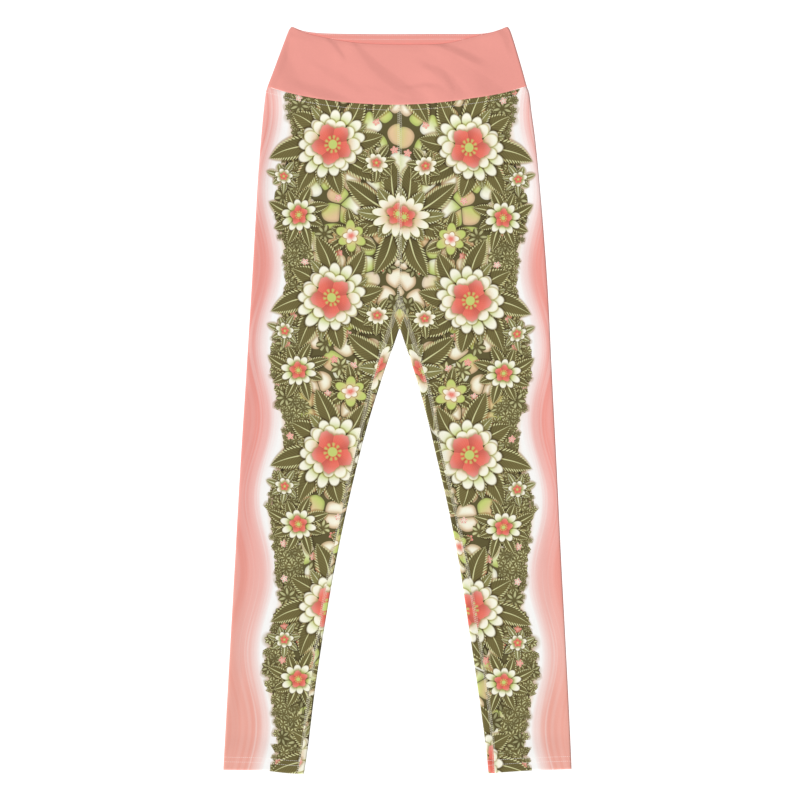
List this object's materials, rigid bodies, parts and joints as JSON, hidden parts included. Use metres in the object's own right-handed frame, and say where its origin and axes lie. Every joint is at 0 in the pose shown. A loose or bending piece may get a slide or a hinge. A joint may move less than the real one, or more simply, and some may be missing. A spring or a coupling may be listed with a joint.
{
  "type": "high-waisted leggings laid flat",
  "caption": "High-waisted full-length leggings laid flat front up, with a wide doubled waistband, crotch gusset and stitched hems.",
  "frame": {"origin": "on the surface the garment lies on, under the middle of its bounding box", "axes": "+X to the wearer's left, +Y up to the waistband, +Z out of the front, away from the surface"},
  "size_m": [0.4422, 0.9488, 0.0053],
  "materials": {
    "printed_knit": "smooth matt printed jersey with a faint sheen",
    "coral_knit": "smooth matt plain jersey with a faint sheen",
    "sewing_thread": "matt polyester thread"
  },
  "bodies": {
    "root": {"right_leg": "printed_knit", "left_leg": "printed_knit", "gusset": "printed_knit", "waistband_front": "coral_knit", "waistband_back": "coral_knit"}
  },
  "joints": []
}
